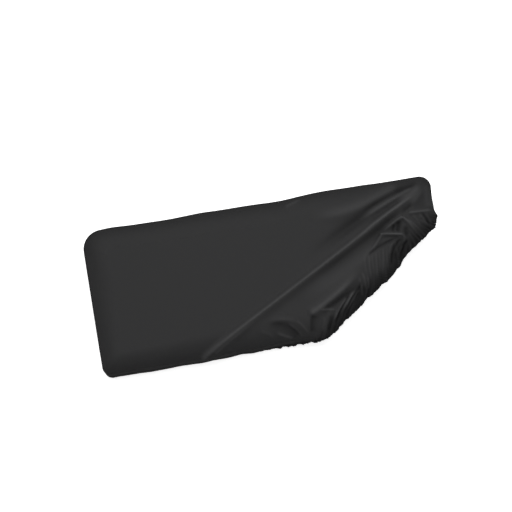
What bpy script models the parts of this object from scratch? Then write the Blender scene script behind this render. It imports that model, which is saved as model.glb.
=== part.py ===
"""Fitted stretch dust cover with a gathered elastic hem, one corner pushed back, as one thin closed solid.

Frame: metres, +X along the long side, +Y towards the back, +Z up. The origin is the middle of the
underside of the cover's top, where it bears on the controls of the instrument that it fits. The cloth
slopes from there to the edges of the instrument's body, and hangs down its sides to the hem.
"""

import math
from collections import namedtuple

import bpy
import numpy as np
from mathutils import Vector
from mathutils.geometry import delaunay_2d_cdt

MM = 0.001

# Outer size of the cover in mm, and the thickness of its cloth
LENGTH = 312.0
DEPTH = 127.0
HEIGHT = 47.0
SHEET = 1.2

# Plan corner radii of the outside, and of the line where the flat top ends, in mm
CORNER_RADII = {"front_right": 10.0, "back_right": 10.5, "back_left": 16.0, "front_left": 10.0}
TOP_INSET = 20.0
TOP_CORNER = 6.0

# Cloth from the flat top to the edge of the body, across and down, at the front and elsewhere, in mm
FRONT_SLOPE = 20.0
FRONT_DROP = 13.0
SIDE_SLOPE = 15.0
SIDE_DROP = 10.0

# Rounding of the bottom edge, width of skirt tucked under it, and its gathers, in mm
BOTTOM_EDGE = 4.0
TUCK = 9.0
TUCK_GATHER = 0.25

# Gathers along the hem: their pitch and how far it wanders, the slower swells over them, in mm and as a
# share of their height, the share of the skirt over which they rise, and how flat the hem presses them
GATHER_PITCH = 8.0
WANDER_PITCH = 30.0
WANDER = 1.3
SWELL_PITCH = 17.0
SWELL_SHARE = 0.45
SWELL_PHASE = 2.0
GATHER_RISE = 0.62
HEM_SHARE = 0.2
HEM_PRESS = 0.6

# Mesh spacing in mm, and the least gaps between the top's mesh points as shares of it
GRID = 6.4
FOLD_STEP = 4.6
PERIMETER_STEP = 8.4
TURNED_STEP = 2.5
GRID_GAP = 0.62
FOLD_GAP = 0.4
BORDER_GAP = 0.55

# Stations round a corner, rows from the flat top to the hem, and how much rows crowd round an edge, in mm
CORNER_STATIONS = 6
SKIRT_ROWS = 12
EDGE_CROWDING = 4.0
SLOPE_SAMPLES = 24

# A station of the skirt, in mm: the crest point where the top ends, the foot point at the edge of the
# body or at a hem that lies on it, the slope between them across and down, the length of cloth that
# hangs past the foot, and how far its gathers stand up
Station = namedtuple("Station", "crest_x crest_y foot_x foot_y slope drop hang gather")

# The skirt that is pushed back over the front right corner, from the front edge round to the right edge
TURNED_FROM = 0.43
TURNED = [
    Station(-18.0, -43.5, -18.0, -63.5, 20.0, 13.0, 45.3, 0.2),
    Station(-6.0, -43.4, -6.0, -63.6, 20.0, 13.0, 40.0, 0.4),
    Station(6.0, -43.2, 6.0, -63.8, 20.0, 12.8, 32.0, 0.6),
    Station(17.0, -42.5, 18.0, -63.9, 20.0, 12.3, 24.0, 0.8),
    Station(26.5, -40.6, 30.0, -63.9, 20.0, 11.6, 15.5, 0.9),
    Station(35.0, -37.6, 41.5, -63.2, 21.0, 10.6, 5.0, 1.0),
    Station(45.0, -33.0, 53.0, -57.4, 26.0, 9.4, 0.0, 1.0),
    Station(58.0, -25.5, 67.0, -46.9, 26.0, 9.2, 0.0, 1.0),
    Station(71.5, -17.0, 81.0, -36.4, 26.0, 9.0, 0.0, 1.0),
    Station(82.0, -8.0, 92.0, -28.2, 26.0, 9.0, 0.0, 1.0),
    Station(93.0, 5.5, 105.6, -18.0, 30.0, 9.0, 0.0, 1.0),
    Station(105.5, 19.5, 120.4, -6.9, 32.0, 9.0, 0.0, 1.0),
    Station(117.0, 27.0, 132.2, 2.3, 32.0, 9.0, 0.0, 1.0),
    Station(126.0, 31.0, 142.7, 10.2, 28.0, 9.0, 0.0, 1.0),
    Station(132.0, 33.5, 151.7, 17.0, 27.0, 9.0, 0.0, 0.9),
    Station(135.0, 35.0, 158.0, 23.2, 26.0, 9.4, 3.0, 0.8),
    Station(136.0, 36.0, 159.0, 29.0, 22.0, 9.8, 9.5, 0.7),
    Station(136.0, 37.0, 157.6, 34.5, 18.0, 10.0, 18.0, 0.6),
    Station(136.0, 38.0, 156.4, 40.0, 16.0, 10.0, 27.5, 0.5),
    Station(136.0, 39.2, 156.0, 45.5, 15.0, 10.0, 37.0, 0.4),
    Station(136.0, 40.6, 156.0, 50.5, 15.0, 10.0, 44.0, 0.3),
]

# Folds of the cloth in mm: a curve from start through mid to end, the rise of its crest, and its
# half-width towards the back left and towards the front right
Fold = namedtuple("Fold", "start mid end rise behind ahead")
FOLDS = {
    "long_crease": Fold((-66.0, -61.0), (29.0, -9.2), (141.0, 51.5), 3.0, 6.5, 3.4),
    "second_crease": Fold((88.0, 33.0), (113.0, 47.0), (142.0, 59.0), 2.2, 3.8, 4.5),
    "back_swell": Fold((5.0, 47.0), (66.0, 50.5), (127.0, 58.0), 1.9, 9.0, 8.0),
    "middle_swell": Fold((10.0, -34.0), (72.0, 8.0), (130.0, 40.0), 1.6, 26.0, 22.0),
    "front_crest": Fold((14.0, -49.0), (48.0, -31.0), (88.0, -6.0), 3.4, 8.0, 11.0),
    "middle_crest": Fold((70.0, -19.0), (94.0, 6.5), (121.0, 29.0), 3.4, 7.0, 11.0),
    "right_crest": Fold((104.0, 18.0), (127.0, 32.5), (154.0, 36.5), 3.8, 7.0, 9.0),
}

# How far a fold takes to rise from each of its ends, as a share of its length, and the pieces it is
# measured in. A fold has mesh rows beside its crest, at these shares of its half-width, unless it is
# wider than BROAD.
FOLD_TAPER = 0.24
FOLD_SAMPLES = 40
FOLD_ROWS = (0.0, 0.6, 1.5)
BROAD = 15.0

# Lengths of hanging cloth, in mm, over which the folds of the top die out, and over which the soft slope
# of cloth that lies on the body becomes the tight one of cloth that is drawn over its edge
FOLD_FADE = 14.0
TIGHTENING = 16.0

COLOUR = (0.032, 0.032, 0.034, 1.0)
ROUGHNESS = 0.88


def mix(a, b, t):
    """Value between a and b at share t."""
    return a + (b - a) * t


def smooth(t):
    """Ease from 0 to 1, flat at both ends."""
    t = np.clip(t, 0.0, 1.0)
    return t * t * (3.0 - 2.0 * t)


def outline(half_x, half_y, radii, u):
    """Point of a rounded rectangle at u from 0 to 8, even parts sides and odd parts corners."""
    signs = ((1, -1), (1, 1), (-1, 1), (-1, -1))
    side = int(u) // 2 % 4
    share = u - int(u)
    near, far = radii[side - 1], radii[side]
    before = Vector((signs[side - 1][0] * (half_x - near), signs[side - 1][1] * (half_y - near)))
    after = Vector((signs[side][0] * (half_x - far), signs[side][1] * (half_y - far)))
    facing = math.radians(90.0 * side - 90.0)
    if int(u) % 2:
        angle = facing + math.radians(90.0 * share)
        return after + Vector((math.cos(angle), math.sin(angle))) * far
    out = Vector((math.cos(facing), math.sin(facing)))
    return (before + out * near).lerp(after + out * far, share)


def spline(rows, t):
    """Row at t from 0 to 1 on a smooth curve through all the rows."""
    at = t * (len(rows) - 1)
    i = min(int(at), len(rows) - 2)
    f = at - i
    around = (rows[max(i - 1, 0)], rows[i], rows[i + 1], rows[min(i + 2, len(rows) - 1)])
    return [
        b + 0.5 * f * ((c - a) + f * (2 * a - 5 * b + 4 * c - d + f * (3 * b - a - 3 * c + d)))
        for a, b, c, d in zip(*around)
    ]


def plain_station(u):
    """Station of the plain skirt at outline position u."""
    radii = list(CORNER_RADII.values())
    inner = [TOP_CORNER] * len(radii)
    foot = outline(LENGTH / 2, DEPTH / 2, radii, u)
    crest = outline(LENGTH / 2 - TOP_INSET, DEPTH / 2 - TOP_INSET, inner, u)
    front = float(smooth((-foot.y - DEPTH / 4) / (DEPTH / 4)))
    slope = mix(SIDE_SLOPE, FRONT_SLOPE, front)
    drop = mix(SIDE_DROP, FRONT_DROP, front)
    hang = HEIGHT - drop - BOTTOM_EDGE + math.pi / 2 * BOTTOM_EDGE + TUCK
    return Station(crest.x, crest.y, foot.x, foot.y, slope, drop, hang, TUCK_GATHER)


def stations():
    """All stations of the skirt, counter-clockwise from the front left corner."""
    out = []
    for part, length in enumerate((LENGTH * TURNED_FROM, 0, 0, 0, LENGTH, 0, DEPTH, 0)):
        share = TURNED_FROM if part == 0 else 1.0
        count = round(length / PERIMETER_STEP) if length else CORNER_STATIONS
        if part not in (1, 2):
            out += [plain_station(part + share * k / count) for k in range(count)]
        if part == 0:
            hem = sum(math.dist(a[2:4], b[2:4]) for a, b in zip(TURNED, TURNED[1:]))
            count = round(hem / TURNED_STEP)
            out += [Station(*spline(TURNED, k / count)) for k in range(count + 1)]
    return out


def path(station):
    """Outward distance and height along the cloth from the crest to the hem, closely sampled."""
    run = math.dist(station[0:2], station[2:4])
    slope = min(station.slope, run)
    hang = max(station.hang, 0.0)
    turn = np.linspace(0.0, math.pi / 2, SLOPE_SAMPLES)
    out = run - slope + slope * np.sin(turn)
    soft = -station.drop * smooth(out / run)
    tight = -station.drop * (1 - np.cos(turn))
    height = mix(soft, tight, float(smooth(hang / TIGHTENING)))
    out, height = np.append(0.0, out), np.append(0.0, height)
    wall = HEIGHT - station.drop - BOTTOM_EDGE
    past = np.linspace(0.0, hang, round(hang) + 2)[1:]
    turn = np.clip((past - wall) / BOTTOM_EDGE, 0.0, math.pi / 2)
    under = np.clip(past - wall - math.pi / 2 * BOTTOM_EDGE, 0.0, None)
    down = np.clip(past, 0.0, wall) + BOTTOM_EDGE * np.sin(turn)
    if hang:
        out = np.append(out, run - BOTTOM_EDGE * (1 - np.cos(turn)) - under)
        height = np.append(height, -station.drop - down)
    return out, height


def skirt_points(station, rows, along):
    """Points of the outer face from the crest to the hem, at this length along the hem."""
    out, height = path(station)
    length = np.append(0.0, np.cumsum(np.hypot(np.diff(out), np.diff(height))))
    moved = np.append(True, np.diff(length) > 1e-6)
    out, height, length = out[moved], height[moved], length[moved]
    angle = np.unwrap(np.arctan2(-np.gradient(height, length), np.gradient(out, length)))
    weight = length + EDGE_CROWDING * np.append(0.0, np.cumsum(np.abs(np.diff(angle))))
    at = np.interp(np.linspace(0.0, weight[-1], rows + 1), weight, length)
    out, height, angle = (np.interp(at, length, values) for values in (out, height, angle))
    crest = np.array(station[0:2])
    direction = np.array(station[2:4]) - crest
    direction /= np.linalg.norm(direction)
    plan = crest + out[:, None] * direction
    hanging = at - (length[-1] - max(station.hang, 0.0))
    lift = fold_height(plan) * (1.0 - smooth(hanging / FOLD_FADE))
    lift += gather(station, along, at / length[-1])
    plan = plan + (np.sin(angle) * lift)[:, None] * direction
    return np.column_stack((plan, SHEET + height + np.cos(angle) * lift))


def gather(station, along, share):
    """Lift of the drawn-in cloth at length along the hem and share of the way from crest to hem."""
    turns = 2.0 * math.pi * along
    wander = WANDER * math.sin(turns / WANDER_PITCH)
    wave = math.sin(turns / GATHER_PITCH + wander)
    swell = SWELL_SHARE * math.sin(turns / SWELL_PITCH + SWELL_PHASE)
    pressed = 1.0 - HEM_PRESS * smooth((share - 1.0 + HEM_SHARE) / HEM_SHARE)
    return station.gather * (1.0 + SWELL_SHARE + wave + swell) * smooth(share / GATHER_RISE) * pressed


def curve(fold, t):
    """Plan points of a fold's curve at the shares t."""
    start, mid, end = np.array(fold.start), np.array(fold.mid), np.array(fold.end)
    pull = 2.0 * mid - 0.5 * (start + end)
    t = np.asarray(t)[:, None]
    return start * (1 - t) ** 2 + pull * 2 * t * (1 - t) + end * t**2


def fold_height(plan):
    """Rise of the cloth above its plain form at each plan point."""
    total = np.zeros(len(plan))
    for fold in FOLDS.values():
        line = curve(fold, np.linspace(0.0, 1.0, FOLD_SAMPLES + 1))
        along = np.diff(line, axis=0)
        apart = plan[:, None] - line[None, :-1]
        share = np.clip((apart * along).sum(axis=2) / (along**2).sum(axis=1), 0.0, 1.0)
        offset = apart - along * share[..., None]
        gap = np.linalg.norm(offset, axis=2)
        near = gap.argmin(axis=1)
        pick = (np.arange(len(plan)), near)
        side = along[near, 0] * offset[pick][:, 1] - along[near, 1] * offset[pick][:, 0]
        t = (near + share[pick]) / FOLD_SAMPLES
        width = np.where(side > 0, fold.behind, fold.ahead)
        taper = smooth(t / FOLD_TAPER) * smooth((1 - t) / FOLD_TAPER)
        total += fold.rise * taper * np.exp(-((gap[pick] / width) ** 2))
    return total


def is_inside(loop, points):
    """Whether each plan point lies inside the closed loop."""
    odd = np.zeros(len(points), bool)
    x, y = points[:, 0], points[:, 1]
    for a, b in zip(loop, np.roll(loop, -1, axis=0)):
        if a[1] != b[1]:
            spans = (a[1] > y) != (b[1] > y)
            odd ^= spans & (x < a[0] + (y - a[1]) / (b[1] - a[1]) * (b[0] - a[0]))
    return odd


def top_points(loop):
    """Plan points inside the crest loop: rows that follow the folds, and a grid between them."""
    wanted = []
    for fold in FOLDS.values():
        if fold.behind > BROAD:
            continue
        count = round(math.dist(fold.start, fold.end) / FOLD_STEP)
        line = curve(fold, np.linspace(0.0, 1.0, count + 1))
        across = np.gradient(line, axis=0)[:, ::-1] * (-1.0, 1.0)
        across /= np.linalg.norm(across, axis=1)[:, None]
        for share in FOLD_ROWS:
            for offset in (share * fold.behind, -share * fold.ahead):
                wanted += [(point, FOLD_GAP * FOLD_STEP) for point in line + across * offset]
    for j, y in enumerate(np.arange(-DEPTH / 2, DEPTH / 2, GRID * math.sin(math.radians(60)))):
        for x in np.arange(-LENGTH / 2, LENGTH / 2, GRID):
            wanted.append((np.array((x + 0.5 * GRID * (j % 2), y)), GRID_GAP * GRID))
    inside = is_inside(loop, np.array([point for point, _ in wanted]))
    kept = []
    for (point, gap), within in zip(wanted, inside):
        if within and np.linalg.norm(loop - point, axis=1).min() > BORDER_GAP * gap:
            if not kept or np.linalg.norm(np.array(kept) - point, axis=1).min() > gap:
                kept.append(point)
    return kept


def cover_mesh():
    """Mesh of the outer face: the top as a net over the plan, the skirt as rows from it to the hem."""
    ring = stations()
    count = len(ring)
    loop = np.array([station[0:2] for station in ring])
    border = [(i, (i + 1) % count) for i in range(count)]
    points = [Vector(p) for p in (*loop, *top_points(loop))]
    plan, _, faces, *_ = delaunay_2d_cdt(points, border, [], 1, 1e-6)
    plan = np.array([tuple(p) for p in plan])
    verts = [np.column_stack((plan, SHEET + fold_height(plan)))]
    polygons = [list(face) for face in faces]
    size = len(plan)
    skirt = []
    along = 0.0
    for i, station in enumerate(ring):
        if i:
            along += math.dist(station[2:4], ring[i - 1][2:4])
        verts.append(skirt_points(station, SKIRT_ROWS, along)[1:])
        skirt.append([i, *range(size, size + SKIRT_ROWS)])
        size += SKIRT_ROWS
    for left, right in zip(skirt, skirt[1:] + skirt[:1]):
        for row in range(SKIRT_ROWS):
            polygons.append([left[row], left[row + 1], right[row + 1], right[row]])
    mesh = bpy.data.meshes.new("cover")
    mesh.from_pydata(np.concatenate(verts) * MM, [], polygons)
    return mesh


def cloth_material():
    """Plain dark stretch cloth."""
    material = bpy.data.materials.new("cover_cloth")
    material.use_nodes = True
    shader = material.node_tree.nodes["Principled BSDF"]
    shader.inputs["Base Color"].default_value = COLOUR
    shader.inputs["Roughness"].default_value = ROUGHNESS
    shader.inputs["Metallic"].default_value = 0.0
    return material


def main():
    for old in list(bpy.data.objects):
        bpy.data.objects.remove(old, do_unlink=True)
    collection = bpy.data.collections.new("dust_cover")
    bpy.context.scene.collection.children.link(collection)
    cover = bpy.data.objects.new("cover", cover_mesh())
    collection.objects.link(cover)
    cover.data.materials.append(cloth_material())
    for polygon in cover.data.polygons:
        polygon.use_smooth = True
    sheet = cover.modifiers.new("sheet", "SOLIDIFY")
    sheet.thickness = SHEET * MM
    sheet.offset = -1.0
    sheet.use_quality_normals = True


main()
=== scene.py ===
"""Fitted stretch dust cover with one corner pushed back: cloth, floor, light and camera."""

import math
from collections import namedtuple

import bpy
import numpy as np
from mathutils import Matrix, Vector
from mathutils.geometry import delaunay_2d_cdt

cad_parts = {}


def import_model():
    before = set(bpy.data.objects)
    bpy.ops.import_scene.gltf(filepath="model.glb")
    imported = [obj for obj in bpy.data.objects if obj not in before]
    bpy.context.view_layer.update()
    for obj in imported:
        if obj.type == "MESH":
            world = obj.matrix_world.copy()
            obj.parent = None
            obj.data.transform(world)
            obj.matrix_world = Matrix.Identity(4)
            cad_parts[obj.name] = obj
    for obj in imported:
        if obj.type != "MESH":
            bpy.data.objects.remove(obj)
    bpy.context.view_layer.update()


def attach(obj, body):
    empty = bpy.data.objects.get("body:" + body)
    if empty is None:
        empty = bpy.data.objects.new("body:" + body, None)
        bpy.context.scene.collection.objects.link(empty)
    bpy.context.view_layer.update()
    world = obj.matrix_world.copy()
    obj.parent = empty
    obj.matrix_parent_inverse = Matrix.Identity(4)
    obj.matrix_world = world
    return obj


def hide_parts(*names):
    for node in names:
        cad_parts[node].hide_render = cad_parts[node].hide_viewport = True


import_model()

MM = 0.001

# Outer size of the cover in mm, the thickness of its solid, which the top's height is counted from, and
# the thickness of the cloth itself
LENGTH = 312.0
DEPTH = 127.0
HEIGHT = 47.0
SHEET = 1.2
CLOTH = 0.7

# Plan corner radii of the outside, and of the line where the flat top ends, in mm
CORNER_RADII = {"front_right": 10.0, "back_right": 10.5, "back_left": 16.5, "front_left": 6.5}
TOP_INSET = 24.0
TOP_CORNER = 3.0

# Slope of the cloth from the flat top to the wall, across and down, at the front and elsewhere, in mm
FRONT_SLOPE = 21.0
FRONT_DROP = 14.5
SIDE_SLOPE = 22.0
SIDE_DROP = 12.0

# Uneven stretch of the long walls, the back one with side 1 and the front one with side -1: where a wall
# stands out or is drawn in, over what half-width, and how far, in mm
Bulge = namedtuple("Bulge", "side x width out")
BULGES = (
    Bulge(1, 62.0, 26.0, 1.3),
    Bulge(1, -129.0, 14.0, 1.0),
    Bulge(1, -80.0, 14.0, -0.4),
    Bulge(1, -49.0, 12.0, 0.5),
    Bulge(1, 20.0, 18.0, -0.9),
    Bulge(1, 96.0, 12.0, 0.5),
    Bulge(-1, -110.0, 14.0, 0.6),
    Bulge(-1, -71.0, 10.0, 0.6),
    Bulge(-1, -33.0, 8.0, -1.1),
)

# Rounding of the bottom edge and width of the skirt tucked under it, in mm, and how strong the gathers of
# the plain skirt are
BOTTOM_EDGE = 4.0
TUCK = 9.0
TUCK_GATHER = 0.25

# Mesh spacing in mm: on the top, round the plain skirt, along its front, which a long crease crosses, and
# round the turned skirt. Then the least gap that a grid point and a fold's point keep from the others on
# the top, as shares of the spacing there, and the gap in mm within which two points are one
GRID = 1.3
PERIMETER_STEP = 1.8
FRONT_STEP = 0.8
TURNED_STEP = 0.8
GRID_GAP = 0.7
FOLD_GAP = 0.45
SAME_POINT = 1e-6

# What the triangulation keeps: the triangles inside its border
INSIDE_BORDER = 1

# Stations round a corner, rows from the flat top to the hem, how many times closer they lie on the slope
# than on the wall below it, how much they crowd round an edge, in mm, and samples of the slope's curve
CORNER_STATIONS = 16
SKIRT_ROWS = 38
SLOPE_DENSITY = 3.0
EDGE_CROWDING = 6.0
SLOPE_SAMPLES = 40

# A station of the skirt, in mm: the crest point where the top ends, the foot point where the wall begins
# or the hem lies, the slope that ends there, across and down, the length of cloth that hangs past the
# foot, how strong its gathers are, and how much they lean along the hem
Station = namedtuple("Station", "crest_x crest_y foot_x foot_y slope drop hang gather lean")

# The skirt that is pushed back over the front right corner, from this share of the front round to the
# back end of the right side
TURNED_FROM = 0.43
TURNED = [
    Station(-18.0, -39.5, -18.0, -62.7, 21.0, 14.5, 43.8, 0.3, 0.0),
    Station(-6.0, -39.5, -6.0, -62.2, 21.0, 14.3, 39.0, 0.6, 0.2),
    Station(6.0, -39.4, 6.0, -61.8, 21.0, 13.8, 31.0, 0.9, 0.4),
    Station(17.0, -39.2, 18.0, -62.2, 21.0, 13.0, 23.0, 1.1, 0.6),
    Station(26.5, -38.6, 30.0, -63.4, 21.0, 12.0, 14.5, 1.1, 0.8),
    Station(35.0, -36.6, 41.4, -63.7, 21.0, 11.0, 4.0, 1.0, 1.0),
    Station(45.0, -33.0, 52.9, -57.2, 26.0, 9.6, 0.0, 1.0, 1.2),
    Station(58.0, -25.5, 66.9, -47.0, 26.0, 9.2, 0.0, 1.0, 1.2),
    Station(71.5, -17.0, 81.4, -37.3, 26.0, 9.0, 0.0, 1.0, 1.0),
    Station(82.0, -8.0, 93.8, -28.4, 26.0, 9.0, 0.0, 1.0, 0.8),
    Station(93.0, 5.5, 108.9, -18.9, 30.0, 9.0, 0.0, 1.0, 0.7),
    Station(104.0, 17.5, 121.4, -5.1, 32.0, 9.0, 0.0, 1.0, 0.5),
    Station(114.0, 25.0, 133.4, 2.4, 32.0, 9.0, 0.0, 1.0, 0.2),
    Station(122.0, 29.0, 142.7, 10.0, 28.0, 9.0, 0.0, 1.0, 0.1),
    Station(127.0, 31.0, 151.5, 15.6, 27.0, 9.0, 0.0, 0.9, 0.0),
    Station(129.2, 32.0, 153.6, 20.2, 26.0, 9.2, 1.0, 0.9, 0.0),
    Station(130.6, 32.8, 155.6, 24.8, 25.0, 9.6, 4.5, 0.8, 0.0),
    Station(131.4, 33.4, 154.6, 29.4, 24.0, 10.0, 10.0, 0.7, 0.0),
    Station(132.0, 34.2, 154.9, 34.5, 23.0, 10.8, 18.0, 0.6, 0.0),
    Station(132.0, 34.9, 154.8, 40.0, 22.0, 11.4, 27.5, 0.5, 0.0),
    Station(132.0, 35.6, 155.1, 45.5, 22.0, 12.0, 37.0, 0.4, 0.0),
    Station(132.0, 36.4, 155.8, 52.5, 22.0, 12.0, 44.0, 0.3, 0.0),
]

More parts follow.
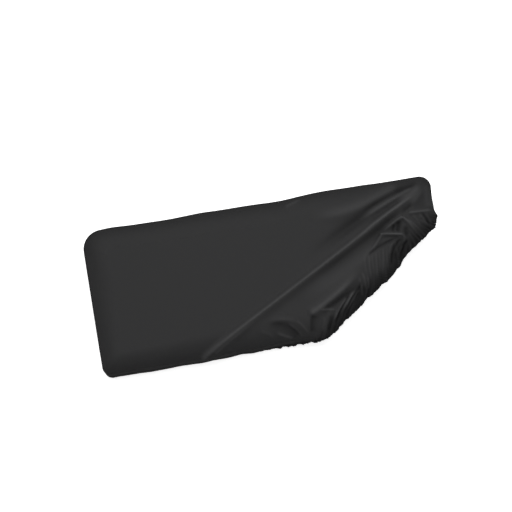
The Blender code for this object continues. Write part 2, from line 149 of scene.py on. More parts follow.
# Folds of the cloth in mm: a curve from start through mid to end, the rise of its crest or, below zero,
# the depth of its trough, its half-width behind, which is to the left of its run, and ahead, the shares of
# its length over which it rises from its start and dies out to its end, and how strong the painted
# highlight along its crest or the painted shade in its trough is
Fold = namedtuple("Fold", "start mid end rise behind ahead open close tone")
FOLDS = {
    "long_crease": Fold((-71.5, -65.4), (14.5, -20.2), (100.0, 25.6), 2.6, 2.2, 5.2, 0.037, 0.116, 1.25),
    "long_crease_end": Fold((80.0, 14.9), (109.5, 31.5), (142.5, 47.3), 2.6, 2.2, 5.2, 0.32, 0.27, 1.7),
    "long_crease_lead": Fold((8.0, -27.0), (73.5, 4.4), (126.0, 34.0), -1.1, 3.6, 6.4, 0.45, 0.15, 0.75),
    "lead_line": Fold((-60.0, -63.0), (-40.4, -52.6), (-12.0, -37.8), 0.5, 1.6, 2.4, 0.2, 0.4, 0.6),
    "second_crease": Fold((86.0, 31.2), (115.0, 43.7), (139.5, 53.4), 1.8, 3.2, 3.2, 0.3, 0.15, 1.6),
    "between_creases": Fold((86.0, 26.0), (112.0, 37.7), (128.0, 45.0), -0.6, 2.4, 2.4, 0.35, 0.3, 0.3),
    "back_trough": Fold((32.6, 3.4), (88.6, 32.8), (140.0, 55.3), -2.4, 4.8, 4.4, 0.45, 0.08, 0.6),
    "back_trough_end": Fold((88.0, 35.4), (113.0, 47.6), (146.0, 56.8), -0.8, 2.6, 2.4, 0.35, 0.12, 0.8),
    "back_swell": Fold((44.0, 42.0), (85.0, 42.8), (128.0, 57.0), 1.4, 6.6, 7.0, 0.35, 0.1, 0.75),
    "back_diagonal": Fold((24.0, 53.4), (31.9, 56.4), (41.0, 59.0), 0.8, 1.8, 2.4, 0.3, 0.3, 0.8),
    "middle_swell": Fold((21.7, -31.4), (69.0, -9.8), (108.1, 15.4), 1.2, 15.5, 14.0, 0.3, 0.3, 0.45),
    "facet_light": Fold((131.0, 36.0), (140.7, 43.6), (146.0, 52.0), 1.2, 6.0, 4.6, 0.35, 0.35, 0.5),
    "corner_light": Fold((124.0, 40.8), (136.9, 47.9), (147.0, 53.9), 0.5, 4.5, 4.0, 0.3, 0.3, 0.7),
    "right_light": Fold((152.0, 56.0), (149.6, 44.0), (149.0, 31.7), 0.2, 7.0, 7.0, 0.3, 0.2, 0.6),
    "facet_dark": Fold((124.8, 32.8), (130.8, 34.4), (134.6, 39.0), -0.9, 1.6, 2.0, 0.3, 0.3, 0.3),
    "ridge_c": Fold((27.4, -43.4), (53.0, -31.4), (82.5, -10.0), 2.3, 4.0, 4.6, 0.12, 0.4, 1.25),
    "wedge": Fold((38.0, -43.4), (60.2, -34.4), (83.0, -21.0), -2.0, 3.6, 4.0, 0.25, 0.5, 0.3),
    "crest_right": Fold((80.0, -12.0), (89.0, 1.6), (103.5, 17.0), 0.6, 3.4, 2.4, 0.4, 0.3, 0.2),
    "knuckle_left": Fold((104.5, 17.4), (117.0, 25.1), (125.4, 28.4), 1.5, 1.5, 2.6, 0.3, 0.08, 1.3),
    "knuckle_right": Fold((124.6, 28.4), (130.1, 21.4), (136.0, 10.5), 1.4, 1.4, 2.2, 0.08, 0.7, 1.5),
    "knuckle_second": Fold((129.0, 26.2), (133.8, 20.0), (139.6, 12.8), 0.9, 1.2, 1.4, 0.25, 0.6, 0.7),
    "knuckle_hollow": Fold((120.8, 26.3), (120.4, 20.6), (117.8, 15.6), -1.0, 1.9, 2.4, 0.25, 0.2, 1.0),
    "knuckle_dent": Fold((116.2, 24.0), (115.5, 19.8), (113.8, 16.6), -0.7, 1.2, 1.3, 0.3, 0.2, 0.9),
    "knuckle_shadow": Fold((127.2, 20.6), (126.4, 15.4), (127.2, 10.2), -0.7, 1.6, 2.4, 0.35, 0.3, 0.8),
    "tent_rim": Fold((102.4, 16.8), (112.0, 15.2), (123.0, 13.3), 1.3, 1.0, 1.6, 0.1, 0.12, 1.7),
    "tent_left": Fold((104.8, 17.4), (97.9, 8.8), (90.0, 0.8), 1.4, 1.9, 1.4, 0.1, 0.35, 0.9),
    "tent_crease": Fold((89.6, -0.8), (101.9, 5.8), (120.2, 11.0), -1.2, 1.3, 1.1, 0.15, 0.2, 0.6),
    "tent_shelf": Fold((104.0, 12.6), (111.6, 12.4), (119.6, 11.0), -0.5, 1.2, 1.3, 0.3, 0.2, 0.4),
    "right_crease": Fold((129.8, 30.8), (139.3, 30.6), (153.0, 30.6), 1.1, 1.4, 2.2, 0.15, 0.2, 1.2),
    "fan_first": Fold((133.8, 29.1), (137.1, 23.1), (139.7, 15.4), 0.7, 1.2, 1.2, 0.3, 0.3, 0.4),
    "fan_second": Fold((139.1, 29.0), (142.9, 23.0), (144.9, 16.5), 0.8, 1.2, 1.2, 0.3, 0.3, 0.4),
    "fan_third": Fold((144.9, 29.0), (147.6, 23.6), (149.5, 17.5), 0.7, 1.1, 1.1, 0.3, 0.3, 0.4),
    "fan_hollow": Fold((142.0, 29.0), (145.6, 23.8), (147.4, 16.0), -0.6, 1.0, 1.0, 0.3, 0.3, 0.6),
    "loop_shadow": Fold((124.6, 11.0), (117.8, 2.2), (111.6, -9.0), -0.6, 4.0, 4.0, 0.25, 0.25, 0.5),
    "loop_a": Fold((120.6, 14.2), (123.4, 9.6), (118.6, 3.6), 1.0, 1.2, 1.4, 0.2, 0.3, 0.6),
    "loop_b": Fold((120.5, 9.9), (115.5, 5.0), (110.8, -1.9), -1.2, 1.3, 1.3, 0.25, 0.25, 0.5),
    "loop_c": Fold((121.8, 5.0), (117.4, -0.4), (114.4, -7.4), 0.9, 1.1, 1.1, 0.3, 0.3, 0.4),
    "loop_d": Fold((126.5, 8.8), (122.0, 2.5), (118.6, -4.6), -1.0, 1.2, 1.2, 0.25, 0.3, 0.9),
    "loop_e": Fold((115.1, 9.7), (110.0, 3.4), (107.4, -5.1), 0.7, 1.2, 1.0, 0.2, 0.3, 0.3),
    "loop_f": Fold((112.6, 1.8), (109.6, -5.6), (108.4, -12.4), -0.9, 1.1, 1.1, 0.3, 0.3, 0.8),
    "gather_a": Fold((86.1, -0.6), (85.0, -10.0), (85.6, -22.5), 0.45, 1.0, 1.0, 0.3, 0.4, 0.5),
    "gather_b": Fold((89.9, 0.0), (88.5, -11.5), (88.0, -24.1), 0.6, 1.0, 1.2, 0.15, 0.35, 0.7),
    "gather_c": Fold((93.1, 1.6), (91.7, -8.3), (91.6, -19.7), 0.4, 0.9, 0.9, 0.3, 0.4, 0.5),
    "gather_d": Fold((96.5, 3.1), (95.1, -9.1), (92.9, -22.6), 0.55, 0.9, 1.1, 0.25, 0.3, 0.7),
    "gather_e": Fold((99.9, 4.5), (98.3, -7.2), (96.8, -18.4), 0.4, 0.9, 0.9, 0.3, 0.4, 0.5),
    "gather_f": Fold((103.6, 5.4), (101.2, -7.5), (98.0, -20.0), 0.55, 0.9, 1.0, 0.25, 0.35, 0.7),
    "gather_g": Fold((107.0, 6.2), (104.9, -5.3), (102.6, -16.4), 0.45, 0.9, 0.9, 0.3, 0.4, 0.5),
    "lower_a": Fold((80.8, -12.9), (82.2, -22.0), (81.4, -30.4), 0.6, 1.1, 1.1, 0.3, 0.3, 0.9),
    "lower_b": Fold((77.4, -16.8), (78.4, -25.8), (77.0, -35.4), 0.6, 1.1, 1.3, 0.3, 0.3, 0.8),
    "lower_c": Fold((84.6, -17.0), (85.4, -24.0), (84.0, -29.6), 0.5, 1.0, 1.0, 0.3, 0.3, 0.8),
    "lower_d": Fold((80.0, -19.4), (75.8, -28.6), (69.6, -37.4), -0.7, 1.1, 1.3, 0.3, 0.3, 0.7),
    "strand_a": Fold((77.6, -27.4), (69.6, -36.0), (60.4, -46.7), 0.7, 0.7, 0.9, 0.2, 0.3, 1.3),
    "strand_b": Fold((74.4, -27.4), (66.4, -35.6), (58.4, -46.4), 0.5, 0.7, 0.8, 0.25, 0.4, 1.0),
    "strand_c": Fold((71.8, -28.8), (63.4, -38.0), (53.9, -49.3), 0.8, 0.7, 1.0, 0.2, 0.35, 1.8),
    "strand_d": Fold((67.4, -31.4), (60.6, -39.0), (51.2, -49.3), -0.7, 1.0, 1.0, 0.3, 0.3, 0.9),
    "strand_e": Fold((65.4, -33.1), (57.2, -41.2), (48.1, -52.6), 0.9, 0.9, 1.2, 0.2, 0.3, 1.6),
    "strand_f": Fold((61.0, -40.4), (55.8, -46.6), (50.2, -54.0), -0.7, 1.0, 1.2, 0.3, 0.3, 0.9),
    "strand_shadow": Fold((90.0, -20.6), (73.0, -33.0), (57.0, -47.0), -0.5, 2.6, 3.4, 0.45, 0.2, 0.9),
    "pouch_rim": Fold((38.5, -40.9), (46.0, -41.3), (54.0, -42.6), 0.7, 1.0, 1.4, 0.3, 0.25, 1.0),
    "pouch_side": Fold((32.0, -43.6), (30.2, -52.1), (28.4, -60.5), -1.1, 3.8, 1.3, 0.12, 0.25, 0.6),
    "pouch_swell": Fold((43.0, -45.6), (40.5, -53.0), (38.0, -60.0), 0.8, 2.6, 2.2, 0.3, 0.3, 0.5),
    "pouch_dark": Fold((49.2, -45.6), (46.6, -53.0), (42.0, -60.5), -0.8, 1.8, 2.2, 0.3, 0.3, 0.5),
    "front_hollow": Fold((-10.0, -47.0), (7.5, -49.4), (19.4, -60.8), -1.2, 2.8, 5.0, 0.3, 0.15, 0.55),
    "front_rim": Fold((-8.0, -44.6), (6.0, -43.6), (18.0, -48.5), 0.5, 2.2, 1.8, 0.4, 0.3, 0.3),
    "finger_a": Fold((8.6, -46.6), (15.3, -53.0), (21.4, -60.8), 0.7, 1.1, 1.4, 0.3, 0.25, 0.5),
    "finger_b": Fold((15.9, -45.4), (21.9, -51.7), (26.8, -60.0), 0.6, 1.1, 1.4, 0.3, 0.25, 0.4),
    "finger_c": Fold((-2.0, -53.4), (5.4, -57.2), (13.4, -60.6), 0.7, 1.2, 1.4, 0.3, 0.25, 0.9),
    "finger_d": Fold((-16.0, -50.0), (-9.0, -53.4), (-2.0, -58.4), 0.5, 1.5, 1.6, 0.3, 0.3, 0.2),
}

# Straight steps that stand for a fold's curve, where the top has rows of mesh points along it and how far
# it reaches, both in its half-widths, and the half-width in mm past which it has no rows of its own
FOLD_SAMPLES = 32
FOLD_ROWS = (0.0, 0.5, 1.0, 1.7)
FOLD_REACH = 2.6
BROAD = 15.0

# Width of the painted highlight along a crest: behind it as a share of the fold's there, ahead of it as a
# share of the lesser of the fold's two, and its least in mm. Then the least and greatest painted shade and
# highlight of the cloth
BACK_SHARE = 0.9
AHEAD_SHARE = 0.4
CREST_WIDTH = 0.85
TONE_RANGE = (-1.1, 2.0)

# Lengths of hanging cloth, in mm, over which the folds of the top die out, and over which the curve of
# cloth that lies down to its hem becomes the tight one of cloth that hangs past an edge. Then the power of
# the lying curve
FOLD_FADE = 22.0
TIGHTENING = 16.0
LYING_CURVE = 2.4

# Waves of the gathers along the hem: pitch and half height in mm, phase, the part of the skirt that they
# fill from the hem towards the crest in mm, the pitch and size of their wander, how far they sway the hem
# out and in, in mm, and how much painted highlight lightens their crests over the painted shade of their
# troughs
Wave = namedtuple("Wave", "pitch height phase reach wander_pitch wander sway tone")
WAVES = (
    Wave(8.3, 0.35, 0.0, 20.0, 30.0, 1.3, 0.1, 0.1),
    Wave(17.0, 0.35, 2.0, 28.0, 71.0, 0.8, 0.2, 0.0),
    Wave(3.3, 0.12, 1.0, 26.0, 21.0, 1.6, 0.05, 0.2),
    Wave(2.2, 0.25, 0.4, 9.0, 13.0, 1.1, 0.0, 0.4),
)

# How much the waves come and go along the hem, and the pitch of that as a share of their wander's. Then
# how steeply they grow from the crest: they are full at one part in so many of the way to the hem
WAVE_VARIATION = 0.6
VARIATION_PITCH = 0.62
WAVE_GROWTH = 3.0

# Painted shade in bands along the gathered hem, over the lowest part of the wall, and over the slope at
# the back edge: width in mm and tone
HEM_BAND = 18.0
HEM_SHADE = -1.0
EDGE_BAND = 18.0
WALL_FOOT_SHADE = -0.85
BACK_BAND = 19.0
BACK_EDGE_SHADE = -0.5


def mix(a, b, t):
    """Value between a and b at share t."""
    return a + (b - a) * t


def smooth(t):
    """Ease from 0 to 1, flat at both ends."""
    t = np.clip(t, 0.0, 1.0)
    return t * t * (3.0 - 2.0 * t)


def edge_share(y):
    """0 from the middle to halfway to the back edge, easing to 1 at that edge; -y asks for the front."""
    return smooth((y - DEPTH / 4) / (DEPTH / 4))


def outline(half_x, half_y, radii, u):
    """Point of a rounded rectangle at u from 0 to 8, even parts sides and odd parts corners."""
    signs = ((1, -1), (1, 1), (-1, 1), (-1, -1))
    side = int(u) // 2 % 4
    share = u - int(u)
    near, far = radii[side - 1], radii[side]
    before = Vector((signs[side - 1][0] * (half_x - near), signs[side - 1][1] * (half_y - near)))
    after = Vector((signs[side][0] * (half_x - far), signs[side][1] * (half_y - far)))
    facing = math.radians(90.0 * side - 90.0)
    if int(u) % 2:
        angle = facing + math.radians(90.0 * share)
        return after + Vector((math.cos(angle), math.sin(angle))) * far
    out = Vector((math.cos(facing), math.sin(facing)))
    return (before + out * near).lerp(after + out * far, share)


def spline(rows, t):
    """Row at t from 0 to 1 on a smooth curve through all the rows."""
    at = t * (len(rows) - 1)
    i = min(int(at), len(rows) - 2)
    f = at - i
    around = (rows[max(i - 1, 0)], rows[i], rows[i + 1], rows[min(i + 2, len(rows) - 1)])
    return [
        b + 0.5 * f * ((c - a) + f * (2 * a - 5 * b + 4 * c - d + f * (3 * b - a - 3 * c + d)))
        for a, b, c, d in zip(*around)
    ]


def plain_station(u):
    """Station of the plain skirt at outline position u."""
    radii = list(CORNER_RADII.values())
    inner = [TOP_CORNER] * len(radii)
    foot = outline(LENGTH / 2, DEPTH / 2, radii, u)
    crest = outline(LENGTH / 2 - TOP_INSET, DEPTH / 2 - TOP_INSET, inner, u)
    side = math.copysign(1, foot.y)
    for bulge in BULGES:
        if bulge.side == side:
            foot.y += side * bulge.out * math.exp(-(((foot.x - bulge.x) / bulge.width) ** 2))
    front = float(edge_share(-foot.y))
    slope = mix(SIDE_SLOPE, FRONT_SLOPE, front)
    drop = mix(SIDE_DROP, FRONT_DROP, front)
    hang = HEIGHT - drop - BOTTOM_EDGE + math.pi / 2 * BOTTOM_EDGE + TUCK
    return Station(crest.x, crest.y, foot.x, foot.y, slope, drop, hang, TUCK_GATHER, 0.0)


def stations():
    """All stations of the skirt, counter-clockwise from the front left corner."""
    count = round(LENGTH * TURNED_FROM / FRONT_STEP)
    out = [plain_station(TURNED_FROM * k / count) for k in range(count)]
    hem = sum(math.dist(a[2:4], b[2:4]) for a, b in zip(TURNED, TURNED[1:]))
    count = round(hem / TURNED_STEP)
    out += [Station(*spline(TURNED, k / count)) for k in range(count + 1)]
    along_back = round(LENGTH / PERIMETER_STEP)
    along_left = round(DEPTH / PERIMETER_STEP)
    counts = (CORNER_STATIONS, along_back, CORNER_STATIONS, along_left, CORNER_STATIONS)
    for part, count in enumerate(counts, start=3):
        out += [plain_station(part + k / count) for k in range(count)]
    return out


def path(station):
    """Outward distance and height along the cloth from the crest to the hem, closely sampled."""
    run = math.dist(station[0:2], station[2:4])
    slope = min(station.slope, run)
    hang = max(station.hang, 0.0)
    turn = np.linspace(0.0, math.pi / 2, SLOPE_SAMPLES)
    out = run - slope + slope * np.sin(turn)
    lying = -station.drop * (out / run) ** LYING_CURVE
    tight = -station.drop * (1 - np.cos(turn))
    height = mix(lying, tight, float(smooth(hang / TIGHTENING)))
    out, height = np.append(0.0, out), np.append(0.0, height)
    wall = HEIGHT - station.drop - BOTTOM_EDGE
    past = np.linspace(0.0, hang, round(hang) + 2)[1:]
    turn = np.clip((past - wall) / BOTTOM_EDGE, 0.0, math.pi / 2)
    under = np.clip(past - wall - math.pi / 2 * BOTTOM_EDGE, 0.0, None)
    down = np.clip(past, 0.0, wall) + BOTTOM_EDGE * np.sin(turn)
    if hang:
        out = np.append(out, run - BOTTOM_EDGE * (1 - np.cos(turn)) - under)
        height = np.append(height, -station.drop - down)
    return out, height


def skirt_points(station, along):
    """Points and painted highlight and shade of the outer face, crest to hem, at this length along the hem.
    """
    out, height = path(station)
    length = np.append(0.0, np.cumsum(np.hypot(np.diff(out), np.diff(height))))
    moved = np.append(True, np.diff(length) > SAME_POINT)
    out, height, length = out[moved], height[moved], length[moved]
    angle = np.unwrap(np.arctan2(-np.gradient(height, length), np.gradient(out, length)))
    weight = length + (SLOPE_DENSITY - 1.0) * np.minimum(length, length[-1] - max(station.hang, 0.0))
    weight += EDGE_CROWDING * np.append(0.0, np.cumsum(np.abs(np.diff(angle))))
    at = np.interp(np.linspace(0.0, weight[-1], SKIRT_ROWS + 1), weight, length)
    out, height, angle = (np.interp(at, length, values) for values in (out, height, angle))
    crest = np.array(station[0:2])
    direction = np.array(station[2:4]) - crest
    direction /= np.linalg.norm(direction)
    plan = crest + out[:, None] * direction
    hanging = at - (length[-1] - max(station.hang, 0.0))
    fade = 1.0 - smooth(hanging / FOLD_FADE)
    rise, tone = fold_height(plan)
    lift, sway, gather_shading = gather(station, along, at, length[-1])
    lift += rise * fade
    wall = HEIGHT - station.drop - BOTTOM_EDGE
    # Painted shade darkens the foot of the wall and the slope at the back edge
    tone = tone * fade + gather_shading + WALL_FOOT_SHADE * smooth((hanging - wall + EDGE_BAND) / EDGE_BAND)
    tone += BACK_EDGE_SHADE * edge_share(station.foot_y) * smooth(1.0 + hanging / BACK_BAND)
    plan = plan + (np.sin(angle) * lift + sway)[:, None] * direction
    return np.column_stack((plan, SHEET + height + np.cos(angle) * lift)), tone


def gather(station, along, at, reach):
    """Lift, sway and painted highlight and shade of the drawn-in cloth, at lengths from the crest to the
    hem.
    """
    lift, sway, tone = np.zeros((3, len(at)))
    turns = 2.0 * math.pi * (along + station.lean * at)
    for wave in WAVES:
        wander = wave.wander * np.sin(turns / wave.wander_pitch)
        shape = np.sin(turns / wave.pitch + wander + wave.phase)
        shape *= 1.0 + WAVE_VARIATION * np.sin(turns / wave.wander_pitch / VARIATION_PITCH + wave.phase)
        share = smooth(1.0 - (reach - at) / wave.reach)
        lift += wave.height * (1.0 + shape) * share
        sway += wave.sway * shape
        tone += wave.tone * shape * share
    # Painted shade along the hem
    tone += HEM_SHADE * smooth(1.0 - (reach - at) / HEM_BAND)
    start = smooth(WAVE_GROWTH * at / reach)
    return station.gather * np.array((lift * start, sway * (at / reach) ** 2, tone * start))


def curve(fold, t):
    """Plan points of a fold's curve at the shares t."""
    start, mid, end = np.array(fold.start), np.array(fold.mid), np.array(fold.end)
    pull = 2.0 * mid - 0.5 * (start + end)
    t = np.asarray(t)[:, None]
    return start * (1 - t) ** 2 + pull * 2 * t * (1 - t) + end * t**2


def fold_height(plan):
    """Rise of the cloth above its plain form, and its painted highlight and shade, at each plan point."""
    total = np.zeros((len(plan), 2))
    for fold in FOLDS.values():
        line = curve(fold, np.linspace(0.0, 1.0, FOLD_SAMPLES + 1))
        reach = FOLD_REACH * max(fold.behind, fold.ahead)
        close = np.all((plan > line.min(axis=0) - reach) & (plan < line.max(axis=0) + reach), axis=1)
        if close.any():
            total[close] += one_fold(fold, line, plan[close])
    return total[:, 0], total[:, 1]


def one_fold(fold, line, plan):
    """Rise, and painted highlight and shade, of one fold at plan points near it."""
    along = np.diff(line, axis=0)
    apart = plan[:, None] - line[None, :-1]
    share = np.clip((apart * along).sum(axis=2) / (along**2).sum(axis=1), 0.0, 1.0)
    offset = apart - along * share[..., None]
    gap = np.linalg.norm(offset, axis=2)
    near = gap.argmin(axis=1)
    pick = (np.arange(len(plan)), near)
    side = along[near, 0] * offset[pick][:, 1] - along[near, 1] * offset[pick][:, 0]
    t = (near + share[pick]) / FOLD_SAMPLES
    width = np.where(side > 0, fold.behind, fold.ahead)
    taper = smooth(t / fold.open) * smooth((1 - t) / fold.close)
    rise = fold.rise * taper * np.exp(-((gap[pick] / width) ** 2))
    if fold.rise > 0:
        width = np.where(side > 0, BACK_SHARE * fold.behind, AHEAD_SHARE * min(fold.behind, fold.ahead))
        width = np.maximum(width, CREST_WIDTH)
    # Painted highlight along a crest, painted shade along a trough
    tone = math.copysign(fold.tone, fold.rise) * taper * np.exp(-((gap[pick] / width) ** 2))
    return np.column_stack((rise, tone))


def is_inside(loop, points):
    """Whether each plan point lies inside the closed loop."""
    odd = np.zeros(len(points), bool)
    x, y = points[:, 0], points[:, 1]
    for a, b in zip(loop, np.roll(loop, -1, axis=0)):
        if a[1] != b[1]:
            spans = (a[1] > y) != (b[1] > y)
            odd ^= spans & (x < a[0] + (y - a[1]) / (b[1] - a[1]) * (b[0] - a[0]))
    return odd


def top_points(loop):
    """Plan points inside the crest loop: rows that follow the folds, and a grid between them."""
    wanted = [loop]
    gaps = [np.full(len(loop), 0.0)]
    for fold in FOLDS.values():
        if fold.behind > BROAD:
            continue
        count = round(math.dist(fold.start, fold.end) / GRID)
        line = curve(fold, np.linspace(0.0, 1.0, count + 1))
        across = np.gradient(line, axis=0)[:, ::-1] * (-1.0, 1.0)
        across /= np.linalg.norm(across, axis=1)[:, None]
        for share in FOLD_ROWS:
            for offset in (share * fold.behind, -share * fold.ahead):
                wanted.append(line + across * offset)
                gaps.append(np.full(len(line), FOLD_GAP * GRID))
    rows = np.arange(-DEPTH / 2, DEPTH / 2, GRID * math.sin(math.radians(60)))
    for j, y in enumerate(rows):
        x = np.arange(-LENGTH / 2, LENGTH / 2, GRID) + 0.5 * GRID * (j % 2)
        wanted.append(np.column_stack((x, np.full_like(x, y))))
        gaps.append(np.full(len(x), GRID_GAP * GRID))
    points = np.concatenate(wanted)
    gap = np.concatenate(gaps)
    inside = is_inside(loop, points)
    inside[: len(loop)] = True
    cells = {}
    kept = []
    for point, least, within in zip(points.tolist(), gap.tolist(), inside):
        cell = (int(point[0] // GRID), int(point[1] // GRID))
        around = ((cell[0] + i, cell[1] + j) for i in (-1, 0, 1) for j in (-1, 0, 1))
        if within and all(math.dist(point, other) > least for c in around for other in cells.get(c, ())):
            cells.setdefault(cell, []).append(point)
            kept.append(point)
    return kept[len(loop):]


def cover_mesh():
    """Mesh of the outer face: the top as a net over the plan, the skirt as rows from it to the hem."""
    ring = stations()
    count = len(ring)
    loop = np.array([station[0:2] for station in ring])
    border = [(i, (i + 1) % count) for i in range(count)]
    points = [Vector(p) for p in (*loop, *top_points(loop))]
    plan, _, faces, *_ = delaunay_2d_cdt(points, border, [], INSIDE_BORDER, SAME_POINT)
    plan = np.array([tuple(p) for p in plan])
    rise, tone = fold_height(plan)
    verts = [np.column_stack((plan, SHEET + rise))]
    tones = [tone]
    polygons = [list(face) for face in faces]
    size = len(plan)
    skirt = []
    along = 0.0
    for i, station in enumerate(ring):
        if i:
            along += math.dist(station[2:4], ring[i - 1][2:4])
        points, tone = skirt_points(station, along)
        verts.append(points[1:])
        tones.append(tone[1:])
        skirt.append([i, *range(size, size + SKIRT_ROWS)])
        size += SKIRT_ROWS
    for left, right in zip(skirt, skirt[1:] + skirt[:1]):
        for row in range(SKIRT_ROWS):
            polygons.append([left[row], left[row + 1], right[row + 1], right[row]])
    mesh = bpy.data.meshes.new("cover_cloth")
    mesh.from_pydata(np.concatenate(verts) * MM, [], polygons)
    tones = np.clip(np.concatenate(tones), *TONE_RANGE)
    # The mesh carries the painted highlight and shade that the cloth's colour takes
    mesh.attributes.new("painted_light_and_shade", "FLOAT", "POINT").data.foreach_set("value", tones)
    return mesh


# Cloth: its colour, how far a full painted highlight or shade and the dye's mottling change it, its
# roughness and the whole range of that, and its gloss
CLOTH_COLOUR = (0.0255, 0.0255, 0.026)
TONE_GAIN = 0.6
MOTTLE = 0.02
ROUGHNESS = 0.58
ROUGHNESS_RANGE = 0.04
GLOSS = 0.05

# Mottling: its size in mm, its finer octaves, and the range of the noise that it uses
MOTTLE_SIZE = 6.0
MOTTLE_DETAIL = 4.0
MOTTLE_NOISE = (0.3, 0.7)

# Knit: pitch of its ribs and of its courses, and its relief, in mm
RIB_PITCH = 0.7
COURSE_PITCH = 0.5
KNIT_RELIEF = 0.03

# A wave texture of scale 1 repeats at this pitch in metres
WAVE_UNIT = math.pi / 10.0


def node(tree, kind, inputs, **settings):
    """New node with its settings, and its inputs set to values or joined to other nodes' outputs."""
    made = tree.nodes.new(kind)
    for name, value in settings.items():
        setattr(made, name, value)
    for socket, value in inputs.items():
        if isinstance(value, bpy.types.NodeSocket):
            tree.links.new(value, made.inputs[socket])
        else:
            made.inputs[socket].default_value = value
    return made


def mapped(tree, value, source, target, clamp=True):
    """Value carried over from the source range to the target range."""
    ends = {"From Min": source[0], "From Max": source[1], "To Min": target[0], "To Max": target[1]}
    return node(tree, "ShaderNodeMapRange", {"Value": value, **ends}, clamp=clamp).outputs[0]


def product(tree, first, second):
    """One value times the other."""
    return node(tree, "ShaderNodeMath", {0: first, 1: second}, operation="MULTIPLY").outputs[0]


def ribbing(tree, place, pitch, direction):
    """Even ribs of this pitch in mm."""
    inputs = {"Vector": place, "Scale": WAVE_UNIT / (pitch * MM)}
    return node(tree, "ShaderNodeTexWave", inputs, bands_direction=direction).outputs["Fac"]


def cloth_material():
    """Dark matte stretch knit, with painted highlights along crests and painted shade in troughs and bands.
    """
    material = bpy.data.materials.new("stretch_knit")
    material.use_nodes = True
    tree = material.node_tree
    shader = tree.nodes["Principled BSDF"]
    place = node(tree, "ShaderNodeTexCoord", {}).outputs["Object"]
    inputs = {"Vector": place, "Scale": 1.0 / (MOTTLE_SIZE * MM), "Detail": MOTTLE_DETAIL}
    cloud = node(tree, "ShaderNodeTexNoise", inputs).outputs["Fac"]
    mottle = mapped(tree, cloud, MOTTLE_NOISE, (1.0 - MOTTLE, 1.0 + MOTTLE))
    # Painted highlight along crests and painted shade in troughs and bands, read from the mesh
    crease = node(tree, "ShaderNodeAttribute", {}, attribute_name="painted_light_and_shade").outputs["Fac"]
    painted_shading = mapped(tree, crease, (-1.0, 1.0), (1.0 - TONE_GAIN, 1.0 + TONE_GAIN), clamp=False)
    inputs = {0: CLOTH_COLOUR, "Scale": product(tree, mottle, painted_shading)}
    colour = node(tree, "ShaderNodeVectorMath", inputs, operation="SCALE")
    tree.links.new(colour.outputs[0], shader.inputs["Base Color"])
    ends = (ROUGHNESS - 0.5 * ROUGHNESS_RANGE, ROUGHNESS + 0.5 * ROUGHNESS_RANGE)
    tree.links.new(mapped(tree, cloud, MOTTLE_NOISE, ends), shader.inputs["Roughness"])
    ribs = ribbing(tree, place, RIB_PITCH, "X")
    courses = ribbing(tree, place, COURSE_PITCH, "DIAGONAL")
    inputs = {"Height": product(tree, ribs, courses), "Strength": 1.0, "Distance": KNIT_RELIEF * MM}
    relief = node(tree, "ShaderNodeBump", inputs)
    tree.links.new(relief.outputs["Normal"], shader.inputs["Normal"])
    shader.inputs["Specular IOR Level"].default_value = GLOSS
    return material


# Floor: its size in metres, its gap under the plain hem, in mm, which clears the lowest gather, its colour,
# its roughness, and how much light it gives off so that the cover leaves next to no shade on it
FLOOR_SIZE = 6.0
FLOOR_GAP = 1.5
FLOOR_COLOUR = (0.8, 0.8, 0.8, 1.0)
FLOOR_ROUGHNESS = 0.9
FLOOR_GLOW = 0.82

# White light, also that of the surroundings, and how strong theirs is
WHITE = (1.0, 1.0, 1.0, 1.0)
WORLD_STRENGTH = 0.06


def floor():
    """Plain pale floor under the cover."""
    height = (SHEET - HEIGHT - FLOOR_GAP) * MM
    bpy.ops.mesh.primitive_plane_add(size=FLOOR_SIZE, location=(0.0, 0.0, height))
    plane = bpy.context.object
    plane.name = "floor"
    material = bpy.data.materials.new("floor_paint")
    material.use_nodes = True
    shader = material.node_tree.nodes["Principled BSDF"]
    shader.inputs["Base Color"].default_value = FLOOR_COLOUR
    shader.inputs["Roughness"].default_value = FLOOR_ROUGHNESS
    shader.inputs["Emission Color"].default_value = WHITE
    shader.inputs["Emission Strength"].default_value = FLOOR_GLOW
    plane.data.materials.append(material)
    plane.visible_glossy = False


# Lights that face the cover's middle: place and size in metres, and power in watts
Light = namedtuple("Light", "name place size power")
LIGHTS = (
    Light("key", (0.0, 0.5, 1.55), 1.2, 31.0),
    Light("fill", (0.4, -0.5, 1.9), 2.4, 7.0),
)
LIT_POINT = (0.0, 0.0, 0.0)


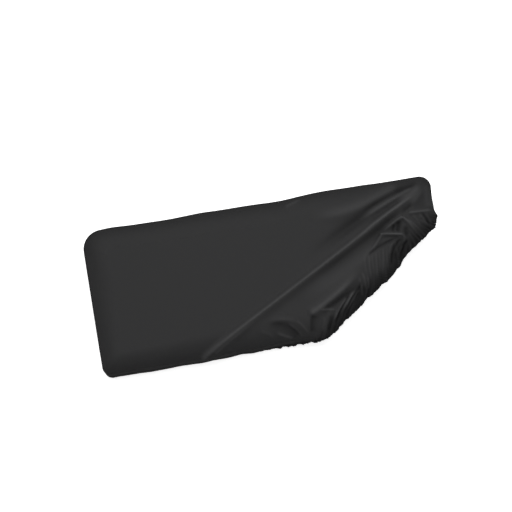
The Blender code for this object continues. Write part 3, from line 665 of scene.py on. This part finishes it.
def area_light(name, place, size, power):
    """Soft square light."""
    light = bpy.data.lights.new(name, "AREA")
    light.size = size
    light.energy = power
    obj = bpy.data.objects.new(name, light)
    obj.location = place
    obj.rotation_euler = (Vector(LIT_POINT) - Vector(place)).to_track_quat("-Z", "Y").to_euler()
    bpy.context.scene.collection.objects.link(obj)


# Camera: where it looks in mm, its angles in degrees, its distance, lens and sensor in mm, and how far it
# sees in metres
AIM = (-7.5, 15.9, 0.0)
AZIMUTH = -9.8
ELEVATION = 80.5
DISTANCE = 1600.0
LENS = 128.8
SENSOR = 36.0
SIGHT = 20.0


def camera():
    """Camera high above the front of the cover, turned a little to its left."""
    data = bpy.data.cameras.new("camera")
    data.lens = LENS
    data.sensor_width = SENSOR
    data.clip_end = SIGHT
    obj = bpy.data.objects.new("camera", data)
    a, e = math.radians(AZIMUTH), math.radians(ELEVATION)
    away = Vector((math.sin(a) * math.cos(e), -math.cos(a) * math.cos(e), math.sin(e)))
    obj.location = (Vector(AIM) + away * DISTANCE) * MM
    obj.rotation_euler = (-away).to_track_quat("-Z", "Y").to_euler()
    bpy.context.scene.collection.objects.link(obj)
    bpy.context.scene.camera = obj


def world():
    """Even white surroundings, and colours shown as they are."""
    scene = bpy.context.scene
    scene.world = bpy.data.worlds.new("studio")
    scene.world.use_nodes = True
    back = scene.world.node_tree.nodes["Background"]
    back.inputs["Color"].default_value = WHITE
    back.inputs["Strength"].default_value = WORLD_STRENGTH
    scene.view_settings.view_transform = "Standard"


def main():
    """Make the cover and the studio round it."""
    cloth = bpy.data.objects.new("cover_cloth", cover_mesh())
    bpy.context.scene.collection.objects.link(cloth)
    cloth.data.materials.append(cloth_material())
    for polygon in cloth.data.polygons:
        polygon.use_smooth = True
    sheet = cloth.modifiers.new("sheet", "SOLIDIFY")
    sheet.thickness = CLOTH * MM
    sheet.offset = -1.0
    sheet.use_quality_normals = True
    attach(cloth, "root")
    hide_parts("cover")
    floor()
    for light in LIGHTS:
        area_light(*light)
    world()
    camera()


main()
